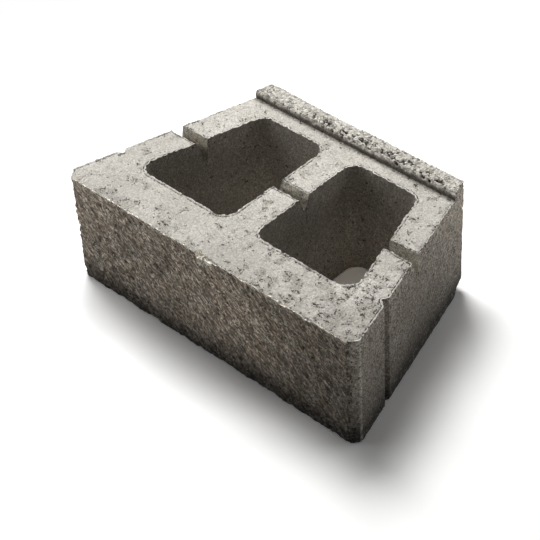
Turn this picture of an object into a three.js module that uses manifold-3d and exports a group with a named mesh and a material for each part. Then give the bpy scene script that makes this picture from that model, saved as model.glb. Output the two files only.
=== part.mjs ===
import * as THREE from "three";
import { mergeVertices } from "three/addons/utils/BufferGeometryUtils.js";
import Module from "manifold-3d";

// Retaining wall block, cast in one piece and drawn with its lip on top.
// Millimetres. X runs along the split front, Y from the front to the rear, Z up.

// Outline seen from above
const FACE_WIDTH = 440; // between the sides where they start, before the corners are rounded
const BLOCK_DEPTH = 272; // split front to rear face
const BODY_HEIGHT = 150; // underside to the flat upper face
const SIDE_TAPER = Math.tan(THREE.MathUtils.degToRad(15.8)); // how fast each side comes in
const CORNER_CUT_WIDTH = 10.5; // bevel beside the split front, along X
const CORNER_CUT_DEPTH = 12; // the same bevel, along Y
const CORNER_ROUND = 3; // where the bevel runs into the side

// Upright groove in each side, behind the front shell
const GROOVE_FRONT = 68; // from the split front to the groove
const GROOVE_BOTTOM = 72.5;
const GROOVE_REAR = 79.5;
const GROOVE_DEPTH = 6.5;
const GROOVE_ROUND = 1.5;

// Lip along the rear edge of the upper face
const LIP_DEPTH = 23.5;
const LIP_HEIGHT = 11;

// Two through cores, a little wider at the top than underneath
const FRONT_SHELL = 63;
const REAR_SHELL = 45;
const SIDE_WALL = 41.5; // measured along X
const CENTRE_WEB = 42;
const CORE_ROUND = 17;
const CORE_DRAFT = 2; // taken off each side of a core at the underside

// V slot that crosses both side walls and the centre web in one line. Its sections are given
// point by point, as how far behind the slot's front edge and how far below the upper face.
const SLOT_FRONT = 138; // from the split front to the slot's front edge
const WALL_SLOT = [
  { back: 0, down: 0 },
  { back: 9.3, down: 27 },
  { back: 10.5, down: 27 },
  { back: 11.9, down: 17.5 },
  { back: 14.5, down: 0 },
];
const WEB_SLOT = [
  { back: 0, down: 0 },
  { back: 5.2, down: 16.5 },
  { back: 7.2, down: 16.5 },
  { back: 11.5, down: 10.3 },
  { back: 14.5, down: 0 },
];

// Broken corner, at the right end of the rear edge underneath
const CHIP_LENGTH = 34; // along X
const CHIP_DEPTH = 17;
const CHIP_HEIGHT = 15;

const CLEARANCE = 20; // how far a cutting shape runs past the block
const ARC_STEPS = 8; // segments in a quarter of a round
const CHIP_STEPS = 16; // segments around the broken corner

const wasm = await Module();
wasm.setup();

function toSolid(geometry) {
  const bare = geometry.clone();
  bare.deleteAttribute("normal");
  bare.deleteAttribute("uv");
  const merged = mergeVertices(bare, 1e-4);
  const mesh = new wasm.Mesh({
    numProp: 3,
    vertProperties: Float32Array.from(merged.attributes.position.array),
    triVerts: Uint32Array.from(merged.index.array),
  });
  return new wasm.Manifold(mesh);
}

function toGeometry(solid) {
  const mesh = solid.getMesh();
  const geometry = new THREE.BufferGeometry();
  geometry.setAttribute("position", new THREE.BufferAttribute(mesh.vertProperties, 3));
  geometry.setIndex(new THREE.BufferAttribute(mesh.triVerts, 1));
  const flat = geometry.toNonIndexed();
  flat.computeVertexNormals();
  return flat;
}

function extrude(shape, height) {
  return new THREE.ExtrudeGeometry(shape, { depth: height, bevelEnabled: false, steps: 1 });
}

// Half of the front's width, less what the side's taper takes off at this depth.
function sideAt(depth) {
  return FACE_WIDTH / 2 - SIDE_TAPER * Math.max(0, depth - CORNER_CUT_DEPTH);
}

// The point that lies `distance` from `corner` on the way to `target`.
function stepTowards(corner, target, distance) {
  return corner.clone().add(target.clone().sub(corner).setLength(distance));
}

// Closed shape through the corners, each rounded by the radius given with it.
function roundedShape(corners) {
  const points = [];
  const count = corners.length;
  for (let i = 0; i < count; i += 1) {
    const here = corners[i].at;
    const before = corners[(i + count - 1) % count].at;
    const after = corners[(i + 1) % count].at;
    const radius = corners[i].round;
    if (radius === 0) {
      points.push(here);
      continue;
    }
    const inward = before.clone().sub(here).normalize();
    const outward = after.clone().sub(here).normalize();
    const halfAngle = Math.acos(inward.dot(outward)) / 2;
    const reach = radius / Math.tan(halfAngle);
    const first = stepTowards(here, before, reach);
    const last = stepTowards(here, after, reach);
    const centre = here.clone().add(inward.add(outward).setLength(radius / Math.sin(halfAngle)));
    const startAngle = Math.atan2(first.y - centre.y, first.x - centre.x);
    let sweep = Math.atan2(last.y - centre.y, last.x - centre.x) - startAngle;
    if (sweep > Math.PI) sweep -= 2 * Math.PI;
    if (sweep < -Math.PI) sweep += 2 * Math.PI;
    const steps = Math.max(2, Math.ceil((ARC_STEPS * Math.abs(sweep)) / (Math.PI / 2)));
    for (let k = 0; k <= steps; k += 1) {
      const angle = startAngle + (sweep * k) / steps;
      const x = centre.x + radius * Math.cos(angle);
      const y = centre.y + radius * Math.sin(angle);
      points.push(new THREE.Vector2(x, y));
    }
  }
  return new THREE.Shape(points);
}

// One side of the block from the front to the rear, as corners with x to the outside.
function sideCorners() {
  const corner = (x, y, round = 0) => ({ at: new THREE.Vector2(x, y), round });
  return [
    corner(FACE_WIDTH / 2 - CORNER_CUT_WIDTH, 0),
    corner(FACE_WIDTH / 2, CORNER_CUT_DEPTH, CORNER_ROUND),
    corner(sideAt(GROOVE_FRONT), GROOVE_FRONT),
    corner(sideAt(GROOVE_BOTTOM) - GROOVE_DEPTH, GROOVE_BOTTOM, GROOVE_ROUND),
    corner(sideAt(GROOVE_REAR), GROOVE_REAR, GROOVE_ROUND),
    corner(sideAt(BLOCK_DEPTH), BLOCK_DEPTH),
  ];
}

function blockOutline() {
  const right = sideCorners();
  const left = right.map(({ at, round }) => ({ at: new THREE.Vector2(-at.x, at.y), round }));
  return roundedShape([...right, ...left.reverse()]);
}

function bodySolid() {
  return toSolid(extrude(blockOutline(), BODY_HEIGHT + LIP_HEIGHT));
}

// Everything that stands above the flat upper face in front of the lip.
function aboveUpperFace() {
  const width = FACE_WIDTH + 2 * CLEARANCE;
  const depth = BLOCK_DEPTH - LIP_DEPTH + CLEARANCE;
  const height = LIP_HEIGHT + CLEARANCE;
  const box = new THREE.BoxGeometry(width, depth, height);
  box.translate(0, depth / 2 - CLEARANCE, BODY_HEIGHT + height / 2);
  return toSolid(box);
}

// A core's outline at the upper face; `side` is 1 for the right core and -1 for the left one.
function coreOutline(side) {
  const front = FRONT_SHELL;
  const rear = BLOCK_DEPTH - REAR_SHELL;
  const inner = CENTRE_WEB / 2;
  const corners = [
    new THREE.Vector2(side * inner, front),
    new THREE.Vector2(side * (sideAt(front) - SIDE_WALL), front),
    new THREE.Vector2(side * (sideAt(rear) - SIDE_WALL), rear),
    new THREE.Vector2(side * inner, rear),
  ];
  return roundedShape(corners.map((at) => ({ at, round: CORE_ROUND })));
}

function coreSolid(side) {
  const geometry = extrude(coreOutline(side), BODY_HEIGHT);
  geometry.computeBoundingBox();
  const size = geometry.boundingBox.getSize(new THREE.Vector3());
  const centre = geometry.boundingBox.getCenter(new THREE.Vector3());
  const positions = geometry.attributes.position;
  const slopeX = (2 * CORE_DRAFT) / size.x / BODY_HEIGHT;
  const slopeY = (2 * CORE_DRAFT) / size.y / BODY_HEIGHT;
  for (let i = 0; i < positions.count; i += 1) {
    const above = positions.getZ(i) > BODY_HEIGHT / 2;
    const z = above ? BODY_HEIGHT + CLEARANCE : -CLEARANCE;
    const drop = z - BODY_HEIGHT;
    const x = centre.x + (positions.getX(i) - centre.x) * (1 + slopeX * drop);
    const y = centre.y + (positions.getY(i) - centre.y) * (1 + slopeY * drop);
    positions.setXYZ(i, x, y, z);
  }
  return toSolid(geometry);
}

// One stretch of the slot, between two places along X. It goes on straight up past the face.
function slotSolid(section, fromX, toX) {
  const front = { back: section[0].back, down: -CLEARANCE };
  const rear = { back: section[section.length - 1].back, down: -CLEARANCE };
  const points = [front, ...section, rear].map(
    ({ back, down }) => new THREE.Vector2(SLOT_FRONT + back, BODY_HEIGHT - down),
  );
  const geometry = extrude(new THREE.Shape(points), toX - fromX);
  // The section's x and y become the block's Y and Z, and its length runs along X.
  const turn = new THREE.Matrix4().set(0, 0, 1, fromX, 1, 0, 0, 0, 0, 1, 0, 0, 0, 0, 0, 1);
  return toSolid(geometry.applyMatrix4(turn));
}

function slotSolids() {
  const outside = FACE_WIDTH / 2 + CLEARANCE;
  const insideWall = sideAt(SLOT_FRONT) - SIDE_WALL - CLEARANCE;
  const besideWeb = CENTRE_WEB / 2 + CLEARANCE;
  return [
    slotSolid(WALL_SLOT, -outside, -insideWall),
    slotSolid(WEB_SLOT, -besideWeb, besideWeb),
    slotSolid(WALL_SLOT, insideWall, outside),
  ];
}

function chipSolid() {
  const ball = new THREE.SphereGeometry(1, CHIP_STEPS, CHIP_STEPS / 2);
  ball.rotateX(Math.PI / 2);
  ball.scale(CHIP_LENGTH, CHIP_DEPTH, CHIP_HEIGHT);
  ball.translate(sideAt(BLOCK_DEPTH), BLOCK_DEPTH, 0);
  return toSolid(ball);
}

function block() {
  const cuts = [aboveUpperFace(), coreSolid(-1), coreSolid(1), ...slotSolids(), chipSolid()];
  const solid = cuts.reduce((kept, cut) => kept.subtract(cut), bodySolid());
  const geometry = toGeometry(solid);
  // The origin goes under the middle of the block.
  geometry.translate(0, -BLOCK_DEPTH / 2, 0);
  const concrete = new THREE.MeshStandardMaterial({
    color: new THREE.Color(0.62, 0.6, 0.56),
    roughness: 0.95,
    metalness: 0,
  });
  const mesh = new THREE.Mesh(geometry, concrete);
  mesh.name = "block";
  return mesh;
}

const group = new THREE.Group();
group.name = "retaining_wall_block";
group.add(block());

export default group;
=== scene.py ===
"""Retaining wall block, cast in dry concrete: the visual model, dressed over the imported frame."""

import logging
import math
from collections.abc import Iterable
from dataclasses import dataclass, field, fields
from enum import Enum, IntEnum

import bmesh
import bpy
import numpy as np
from mathutils import Matrix, Vector


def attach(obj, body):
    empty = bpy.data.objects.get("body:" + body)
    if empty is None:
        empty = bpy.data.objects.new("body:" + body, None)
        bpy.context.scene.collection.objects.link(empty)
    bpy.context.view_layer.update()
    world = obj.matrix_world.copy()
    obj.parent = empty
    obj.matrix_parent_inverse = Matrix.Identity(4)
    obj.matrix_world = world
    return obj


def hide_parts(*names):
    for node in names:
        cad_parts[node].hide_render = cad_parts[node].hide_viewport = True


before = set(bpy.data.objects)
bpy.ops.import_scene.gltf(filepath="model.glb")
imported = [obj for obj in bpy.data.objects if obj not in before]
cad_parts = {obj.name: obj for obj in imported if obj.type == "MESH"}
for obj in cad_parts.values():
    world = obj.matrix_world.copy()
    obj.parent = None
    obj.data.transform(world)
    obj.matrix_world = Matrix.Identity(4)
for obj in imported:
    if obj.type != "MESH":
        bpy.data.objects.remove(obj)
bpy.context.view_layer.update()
log = logging.getLogger("block")

MM = 0.001
STREAK_SLOPE = math.radians(38)  # how steeply the split's ribs fall to the right
AXIS_X, AXIS_Y, AXIS_Z = Vector((1, 0, 0)), Vector((0, 1, 0)), Vector((0, 0, 1))

Points = np.ndarray
Faces = list[bmesh.types.BMFace]
Node = bpy.types.Node
Socket = bpy.types.NodeSocket
Outputs = bpy.types.bpy_prop_collection
Triple = tuple[float, float, float]
Rows = tuple[tuple[float, ...], ...]
Value = Socket | float | Triple
Inputs = dict[str | int, Value]
NO_TURN = (0.0, 0.0, 0.0)


# ---- Random fields ----


@dataclass(frozen=True)
class GrainField:
    """A seeded random field over space, for relief that has to be real geometry."""

    seed: int

    def _hash(self, cell: Points, salt: int) -> Points:
        """Gives each lattice cell a number from 0 to 1.

        Args:
            cell: Whole-number cell coordinates, one row for each point.
            salt: Picks one of several unrelated numbers for the same cell.

        Returns:
            One number for each row.
        """
        x, y, z = cell.astype(np.int64).T
        mixed = x * 374761393 + y * 668265263 + z * 1440662683 + (self.seed * 97 + salt) * 974711
        mixed = (mixed ^ (mixed >> 13)) * 1274126177 & 0xFFFFFFFF
        mixed = (mixed ^ (mixed >> 15)) * 668265263 & 0xFFFFFFFF
        return (mixed ^ (mixed >> 14)) % 65536 / 65535.0

    def smooth(self, points: Points, size: float) -> Points:
        """Samples gradient noise.

        Args:
            points: Places to sample, one row each, in metres.
            size: Width of one lump, in millimetres.

        Returns:
            Values of about -1 to 1.
        """
        scaled = points / (size * MM)
        base = np.floor(scaled).astype(np.int64)
        local = scaled - base
        fade = local**3 * (local * (local * 6 - 15) + 10)
        total = np.zeros(len(points))
        for corner in np.ndindex(2, 2, 2):
            step = np.array(corner)
            pull = np.stack([self._hash(base + step, salt) * 2 - 1 for salt in range(3)], axis=1)
            weight = np.prod(np.where(step == 1, fade, 1 - fade), axis=1)
            total += weight * np.sum(pull * (local - step), axis=1)
        return total * 1.6

    def layered(self, points: Points, size: float, octaves: int, gain: float = 0.5) -> Points:
        """Adds finer and finer noise together.

        Args:
            points: Places to sample, one row each, in metres.
            size: Width of the largest lump, in millimetres.
            octaves: How many layers, each half as wide as the last.
            gain: Strength of each layer against the one before it.

        Returns:
            Values of about -1 to 1.
        """
        total = np.zeros(len(points))
        strength, reach = 1.0, 0.0
        for octave in range(octaves):
            shifted = points + 0.37 * (size * MM) * octave
            total += strength * self.smooth(shifted, size / 2**octave)
            reach += strength
            strength *= gain
        return total / reach

    def nearest(self, points: Points, size: float) -> tuple[Points, Points]:
        """Finds the nearest of some scattered seeds.

        Args:
            points: Places to sample, one row each, in metres.
            size: Mean distance between seeds, in millimetres.

        Returns:
            The distance to the nearest seed as a share of size, and that seed's own number.
        """
        scaled = points / (size * MM)
        base = np.floor(scaled).astype(np.int64)
        closest = np.full(len(points), 9.0)
        number = np.zeros(len(points))
        for offset in np.ndindex(3, 3, 3):
            cell = base + np.array(offset) - 1
            seed = cell + np.stack([self._hash(cell, salt) for salt in (5, 6, 7)], axis=1)
            gap = np.linalg.norm(scaled - seed, axis=1)
            nearer = gap < closest
            closest = np.where(nearer, gap, closest)
            number = np.where(nearer, self._hash(cell, 8), number)
        return closest, number


def each_once(items: Iterable[object]) -> list[object]:
    """Keeps the first of each item in its order, so that the cuts fall alike in every run."""
    return list(dict.fromkeys(items))


def ease(value: Points, low: float, high: float) -> Points:
    """Eases values from 0 at low, which may be the larger of the two, to 1 at high."""
    share = np.clip((value - low) / (high - low), 0, 1)
    return share * share * (3 - 2 * share)


def drawn_up(points: Points, share: float) -> Points:
    """Squeezes the space upright, so that lumps come out drawn along the mould's walls."""
    return points * np.array([1.0, 1.0, share])


# ---- The block's sizes and its surfaces ----


class Patch(IntEnum):
    """The surfaces of the block, each with its own relief."""

    SPLIT = 0
    BEVEL = 1
    SIDE = 2
    REAR = 3
    UPPER = 4
    LIP_TOP = 5
    LIP_FRONT = 6
    SLOT = 7
    CORE = 8
    UNDERSIDE = 9
    FRACTURE = 10
    BRINK = 11


@dataclass(frozen=True)
class BlockSizes:
    """Real sizes of the block, in metres, in the frame's axes."""

    width: float = 440 * MM
    depth: float = 272 * MM
    body_height: float = 150 * MM
    lip_height: float = 11 * MM
    lip_depth: float = 23.5 * MM
    bevel_depth: float = 12 * MM
    side_taper: float = math.tan(math.radians(15.8))
    rear_shell: float = 45 * MM
    side_wall: float = 41.5 * MM
    centre_web: float = 42 * MM
    slot_front: float = 138 * MM
    slot_width: float = 14.5 * MM
    slot_depth: float = 27 * MM
    web_slot_depth: float = 16.5 * MM

    @property
    def front(self) -> float:
        """Y of the split front."""
        return -self.depth / 2

    @property
    def rear(self) -> float:
        """Y of the rear face."""
        return self.depth / 2

    @property
    def lip_front(self) -> float:
        """Y of the lip's front."""
        return self.rear - self.lip_depth

    @property
    def top(self) -> float:
        """Z of the lip's top."""
        return self.body_height + self.lip_height

    def side_at(self, y: float) -> float:
        """Half the block's width at y, before grooves and bevels."""
        return self.width / 2 - self.side_taper * max(0.0, y - self.front - self.bevel_depth)


@dataclass(frozen=True)
class CellSizes:
    """Edge length of a surface cell on each kind of surface, in metres."""

    split: float = 1.5 * MM
    upper: float = 2.4 * MM
    rim: float = 1.7 * MM
    lip: float = 1.2 * MM
    side: float = 2.6 * MM
    rear: float = 4.0 * MM
    core: float = 5.0 * MM
    underside: float = 8.0 * MM
    slot: float = 2.0 * MM


@dataclass(frozen=True)
class Pit:
    """A hollow in a level face, left by a lost stone or by trapped air; sizes in millimetres."""

    patch: Patch
    x: float
    y: float
    radius: float
    depth: float
    stretch: float = 1.0
    turn: float = 0.0

    def depth_at(self, points: Points) -> Points:
        """Gives the hollow's depth under each point.

        Args:
            points: Places on the face, one row each.

        Returns:
            Depth at each place, in metres.
        """
        along_x, along_y = math.cos(self.turn), math.sin(self.turn)
        dx, dy = points[:, 0] - self.x * MM, points[:, 1] - self.y * MM
        along = (dx * along_x + dy * along_y) / self.stretch
        across = dy * along_x - dx * along_y
        return self.depth * MM * ease(np.hypot(along, across) / (self.radius * MM), 1.0, 0.45)


@dataclass(frozen=True)
class Chip:
    """A place where an edge has crumbled away; sizes in millimetres."""

    x: float
    y: float
    z: float
    radius: float
    depth: float

    def depth_at(self, points: Points) -> Points:
        """Gives how deep the chip is at each point, in metres."""
        gap = np.linalg.norm(points - np.array([self.x * MM, self.y * MM, self.z * MM]), axis=1)
        return self.depth * MM * ease(gap / (self.radius * MM), 1.0, 0.2)


@dataclass(frozen=True)
class Spall:
    """A crumb split off the front's upper edge, which leaves a small ledge; in millimetres."""

    x: float
    half_width: float
    back: float
    drop: float
    ragged_outline: float = 0.3
    ragged_floor: float = 0.15
    reach_down: float = 22

    def drop_at(self, points: Points, sizes: BlockSizes, ragged: Points) -> Points:
        """Gives how far down each point moves.

        Args:
            points: Places on the block, one row each.
            sizes: The block's sizes.
            ragged: A random number of about -1 to 1 for each place, to break the outline.

        Returns:
            The drop at each place, in metres.
        """
        reach = self.half_width * MM * (1 + self.ragged_outline * ragged)
        inside = ease(np.abs(points[:, 0] - self.x * MM), reach, reach - 1.5 * MM)
        depth = self.back * MM * (1 + self.ragged_outline * ragged)
        lying = ease(points[:, 1] - sizes.front, depth, depth - 1.3 * MM)
        squeezed = np.clip(1 - (sizes.body_height - points[:, 2]) / (self.reach_down * MM), 0, 1)
        return self.drop * MM * (1 + self.ragged_floor * ragged) * inside * lying * squeezed


# ---- Relief ----


@dataclass(frozen=True)
class Relief:
    """How far each surface lies inside the mould's line, place by place, in metres."""

    sizes: BlockSizes
    pits: tuple[Pit, ...]
    chips: tuple[Chip, ...]
    spalls: tuple[Spall, ...]
    streak_stretch: float = 4.6
    fin_height: float = 1.3 * MM
    fin_profile: tuple[float, ...] = (0.6, 1.0, -0.9, 0.0)  # at the edge and at each ring inside it
    whole_fin: tuple[float, float] = (165 * MM, 190 * MM)  # along X, where the fin closes up
    lip_round: float = 2.6 * MM
    lip_flake: float = 1.6 * MM
    deepest_split: float = 6.0 * MM
    deepest_bevel: float = 4.5 * MM
    lumps: GrainField = GrainField(11)
    grit: GrainField = GrainField(23)
    stones: GrainField = GrainField(37)
    edges: GrainField = GrainField(51)

    def depth(self, patch: Patch, points: Points) -> Points:
        """Gives how far one surface is set in at each point.

        Args:
            patch: The surface.
            points: Places on it, one row each.

        Returns:
            Depth at each place, never less than 0.
        """
        shapes = {
            Patch.SPLIT: self._split,
            Patch.BEVEL: self._bevel,
            Patch.SIDE: self._struck,
            Patch.REAR: self._struck,
            Patch.UPPER: self._upper,
            Patch.LIP_TOP: self._lip_top,
            Patch.LIP_FRONT: self._lip_front,
            Patch.SLOT: self._slot,
            Patch.CORE: self._core,
            Patch.UNDERSIDE: self._underside,
            Patch.FRACTURE: self._fracture,
            Patch.BRINK: self._brink,
        }
        depth = shapes[patch](points)
        for pit in self.pits:
            if pit.patch is patch:
                depth = depth + pit.depth_at(points)
        crumbs = 0.75 + 0.5 * self.grit.smooth(points, 3.5)
        for chip in self.chips:
            depth = depth + chip.depth_at(points) * crumbs
        return np.maximum(depth, 0.0)

    def spalled(self, points: Points) -> Points:
        """Gives how far the front's upper edge has dropped away at each point."""
        ragged = self.grit.smooth(points, 3.6)
        return np.max([spall.drop_at(points, self.sizes, ragged) for spall in self.spalls], axis=0)

    def fin(self, patch: Patch, points: Points, rim: Points) -> Points:
        """Gives the fin that the mould leaves along the upper edges, and the crease behind it.

        Args:
            patch: The upper face or the lip's top.
            points: Places on it, one row each.
            rim: How many rings each place is in from the edge.

        Returns:
            1 on a full fin, below 0 in the crease, and 0 where there is neither.
        """
        s = self.sizes
        x, y, _ = points.T
        level = np.interp(rim, np.arange(len(self.fin_profile)), self.fin_profile)
        broken = ease(self.edges.layered(points, 24, 3), -0.35, 0.1)
        teeth = 0.7 + 0.9 * self.edges.smooth(points, 6) + 0.8 * self.grit.smooth(points, 3.2)
        torn = np.clip(teeth, 0.0, 1.4)
        aside = np.array([s.side_at(at) for at in y]) - x
        if patch is Patch.LIP_TOP:
            return level * ease(aside, 6 * MM, 5 * MM) * torn
        off_front = ease(y, s.front + 3 * MM, s.front + 9 * MM)
        at_bevel = ease(x, s.width / 2 - 13 * MM, s.width / 2 - 10 * MM)
        off_front = np.maximum(off_front, at_bevel)
        whole = np.maximum(ease(x, *self.whole_fin), ease(aside, 9 * MM, 6 * MM))
        broken, torn = np.maximum(broken, whole), np.maximum(torn, whole)
        off_lip = ease(y, s.lip_front - 4 * MM, s.lip_front - 9 * MM)
        return level * off_front * off_lip * broken * torn

    def torn(self, patch: Patch, points: Points) -> Points:
        """Tells where the tamped crust is torn open.

        Args:
            patch: The surface.
            points: Places on it, one row each.

        Returns:
            0 on whole crust, 1 where it is gone.
        """
        if patch in (Patch.LIP_TOP, Patch.BRINK, Patch.LIP_FRONT):
            return np.ones(len(points))
        if patch is not Patch.UPPER:
            return np.zeros(len(points))
        s = self.sizes
        x, y, _ = points.T
        dry = ease(x, 10 * MM, 130 * MM) * ease(y, 40 * MM, -60 * MM)
        near_front = ease(y, s.front + 22 * MM, s.front + 4 * MM)
        off_slot = y - s.front - s.slot_front
        near_slot = ease(off_slot, -7 * MM, -1 * MM) * ease(off_slot, 18 * MM, 15 * MM)
        limit = 0.18 - 0.26 * dry - 0.14 * near_front - 0.35 * near_slot
        crust = self.lumps.layered(points + 0.5, 15, 3, 0.6)
        at_lip = ease(y, s.lip_front - 6 * MM, s.lip_front - 1 * MM)
        return np.maximum(ease(crust - limit, 0.0, 0.14), at_lip)

    def recess_shade(self, patch: Patch, points: Points) -> Points:
        """Tells where shade is painted: at the foot of the lip, on the upper face in front of it, and
        deep in the slot.

        Args:
            patch: The surface.
            points: Places on it, one row each.

        Returns:
            0 where no shade is painted, 1 where the painted shade is darkest.
        """
        s = self.sizes
        x, y, z = points.T
        uneven = 1.5 * MM * self.edges.smooth(points, 8)
        if patch is Patch.UPPER:
            return 0.6 * ease(y + uneven, s.lip_front - 8 * MM, s.lip_front)
        if patch is Patch.LIP_FRONT:
            return 0.9 * ease(z + uneven, s.body_height + 7.0 * MM, s.body_height + 2.0 * MM)
        if patch is Patch.SLOT:
            deep = np.where(np.abs(x) < s.centre_web, s.web_slot_depth, s.slot_depth)
            open_end = ease(x, 150 * MM, 170 * MM)
            share = (s.body_height - z - uneven) / deep
            return 0.85 * ease(share, 0.4, 0.75) * (1 - 0.7 * open_end)
        return np.zeros(len(points))

    def worn_round(self, patch: Patch, points: Points) -> Points:
        """Gives how much of the depth comes only from wear along the lip's front and rear edges.

        Args:
            patch: The surface.
            points: Places on it, one row each.

        Returns:
            Depth at each place, 0 on every surface but the lip's.
        """
        s = self.sizes
        if patch is Patch.LIP_TOP:
            from_edge, flaked = points[:, 1] - s.lip_front, self._flaked_rear(points)
        elif patch is Patch.LIP_FRONT:
            from_edge, flaked = s.top - points[:, 2], 0.0
        else:
            return np.zeros(len(points))
        return self.lip_round * ease(from_edge, 6.5 * MM, 0.0) ** 1.5 + self.lip_flake * flaked

    def _flaked_rear(self, points: Points) -> Points:
        """Tells where a thin flake is gone from the lip's rear edge; it ends in a small step.

        Args:
            points: Places on it, one row each.

        Returns:
            1 where the flake is gone, 0 elsewhere.
        """
        along = points[:, 0] + 1.5 * MM * self.edges.smooth(points, 6)
        span = ease(along, -120 * MM, -50 * MM) * ease(along, -3 * MM, -5.5 * MM)
        return span * ease(points[:, 1], self.sizes.rear - 7 * MM, self.sizes.rear - 3 * MM)

    def _bitten(self, points: Points, amount: float) -> Points:
        """Bites small crumbs out of the upper edge of an upright face.

        Args:
            points: Places on the face, one row each.
            amount: Depth of a full bite, in metres.

        Returns:
            Depth at each place.
        """
        top = self.sizes.body_height
        at_top = ease(points[:, 2], top - 4.5 * MM, top - 0.5 * MM)
        wander = 0.8 * self.edges.smooth(points, 5.0) + 0.7 * self.grit.smooth(points, 3.4)
        return amount * at_top * ease(wander, -0.25, 0.55)

    def _worn_foot(self, points: Points) -> Points:
        """Gives the wear along the edges that the block stands on."""
        wear = 0.6 * MM * (1.0 + self.edges.layered(points, 9, 2))
        return wear * ease(points[:, 2], 4.5 * MM, 0.0)

    def _streaked(self, points: Points) -> Points:
        """Turns and stretches the space so that lumps become slanting streaks across the front.

        Args:
            points: Places on it, one row each.

        Returns:
            The same places in the stretched space.
        """
        cos, sin = math.cos(STREAK_SLOPE), math.sin(STREAK_SLOPE)
        x, y, z = points.T
        return np.stack([(x * cos - z * sin) / self.streak_stretch, y, x * sin + z * cos], axis=1)

    def _split(self, points: Points) -> Points:
        """Shapes the split front: a nearly flat break, with slanting ribs, stones and grit.

        Args:
            points: Places on it, one row each.

        Returns:
            Depth at each place.
        """
        streaked = self._streaked(points)
        gap, number = self.stones.nearest(points, 7.5)
        stone = ease(gap, 0.52, 0.12) * ease(number, 0.62, 0.8)
        hole = ease(gap, 0.5, 0.2) * ease(number, 0.22, 0.1)
        raised = (
            0.8 * MM * self.lumps.layered(points, 85, 2)
            + 1.5 * MM * self.lumps.layered(streaked, 13, 2)
            + 1.9 * MM * self.grit.layered(streaked, 4.4, 2)
            + 0.5 * MM * self.grit.smooth(points, 3.4)
            + 1.2 * MM * stone
            - 1.7 * MM * hole
        )
        depth = np.clip(2.3 * MM - raised, 0.05 * MM, self.deepest_split)
        brink = 0.9 * MM + 0.8 * MM * self.edges.layered(points, 7, 3)
        at_top = ease(points[:, 2], self.sizes.body_height - 9 * MM, self.sizes.body_height)
        depth = depth * (1 - 0.75 * at_top) + np.maximum(brink, 0) * 0.75 * at_top
        return depth + self._worn_foot(points)

    def _bevel(self, points: Points) -> Points:
        """Shapes the corner beside the front: rubbed smooth on the right, torn on the left.

        Args:
            points: Places on it, one row each.

        Returns:
            Depth at each place.
        """
        torn = 1.8 * MM + 2.6 * MM * self.lumps.layered(points, 13, 3)
        torn = torn + 1.6 * MM * self.grit.smooth(points, 5)
        rubbed = 0.6 * MM + 0.5 * MM * self.lumps.layered(drawn_up(points, 0.35), 9, 2)
        depth = np.where(points[:, 0] < 0, np.minimum(torn, self.deepest_bevel), rubbed)
        return np.maximum(depth, 0) + self._worn_foot(points)

    def _struck(self, points: Points) -> Points:
        """Shapes the outer faces that slid out of the mould: smoothed, with small torn dents.

        Args:
            points: Places on it, one row each.

        Returns:
            Depth at each place.
        """
        drawn = drawn_up(points, 0.7)
        raised = (
            0.3 * MM * self.lumps.layered(drawn, 9, 2)
            + 0.3 * MM * self.grit.smooth(drawn, 5.5)
        )
        gap, number = self.stones.nearest(drawn, 6.5)
        torn = 0.9 * MM * ease(gap, 0.45, 0.15) * ease(number, 0.74, 0.82)
        return 0.3 * MM - raised + torn + self._worn_foot(points) + self._bitten(points, 0.9 * MM)

    def _upper(self, points: Points) -> Points:
        """Shapes the upper face: tamped into flat plateaus, sunken and gritty where torn.

        Args:
            points: Places on it, one row each.

        Returns:
            Depth at each place.
        """
        sunken = 0.55 * MM + 0.45 * MM * self.grit.smooth(points, 4.2)
        swell = 0.22 * MM * self.lumps.layered(points, 34, 2)
        torn = self.torn(Patch.UPPER, points)
        return 0.3 * MM - swell + torn * sunken + 0.12 * MM * self.grit.smooth(points, 7)

    def _brink(self, points: Points) -> Points:
        """Shapes the crumbled strip where the upper face meets the split front."""
        rounded = 0.35 * MM * ease(points[:, 1] - self.sizes.front, 2.2 * MM, 0.0)
        return 0.3 * MM + 0.8 * MM * self.grit.layered(points, 4.5, 2) + rounded

    def _looseness(self, points: Points) -> Points:
        """Tells how loose the lip's concrete is: most along its middle and right."""
        return 0.35 + 0.65 * ease(np.abs(points[:, 0] - 30 * MM), 125 * MM, 60 * MM)

    def _lip_top(self, points: Points) -> Points:
        """Shapes the lip's top: loose, lumpy concrete with deep gaps, worn round at its front.

        Args:
            points: Places on it, one row each.

        Returns:
            Depth at each place.
        """
        behind = points[:, 1] - self.sizes.lip_front
        gap, number = self.stones.nearest(points * np.array([1.0, 1.3, 1.0]), 5.4)
        crowd = 0.5 + 0.38 * ease(behind, 4 * MM, 17 * MM)
        hole = ease(gap, 0.44, 0.62) * ease(number, crowd - 0.2, crowd)
        lump = self.lumps.layered(points, 14, 2)
        grit = self.grit.layered(points, 3.6, 2)
        firm = 1 - 0.6 * ease(behind, 9 * MM, 17 * MM)
        rough = (-0.6 * lump - 1.5 * grit + 4.2 * hole) * MM * self._looseness(points) * firm
        return 0.9 * MM + rough + self.worn_round(Patch.LIP_TOP, points)

    def _lip_front(self, points: Points) -> Points:
        """Shapes the lip's front: rough, worn round at its upper edge and bitten into.

        Args:
            points: Places on it, one row each.

        Returns:
            Depth at each place.
        """
        s = self.sizes
        gap, number = self.stones.nearest(points, 6.2)
        hole = ease(gap, 0.6, 0.2) * ease(number, 0.38, 0.48) * self._looseness(points)
        upper_half = ease(points[:, 2], s.body_height + 1 * MM, s.top - 5 * MM)
        rough = 0.7 * MM + 1.1 * MM * self.grit.layered(points, 4.4, 2)
        return rough + self.worn_round(Patch.LIP_FRONT, points) + 3.6 * MM * hole * upper_half

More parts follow.
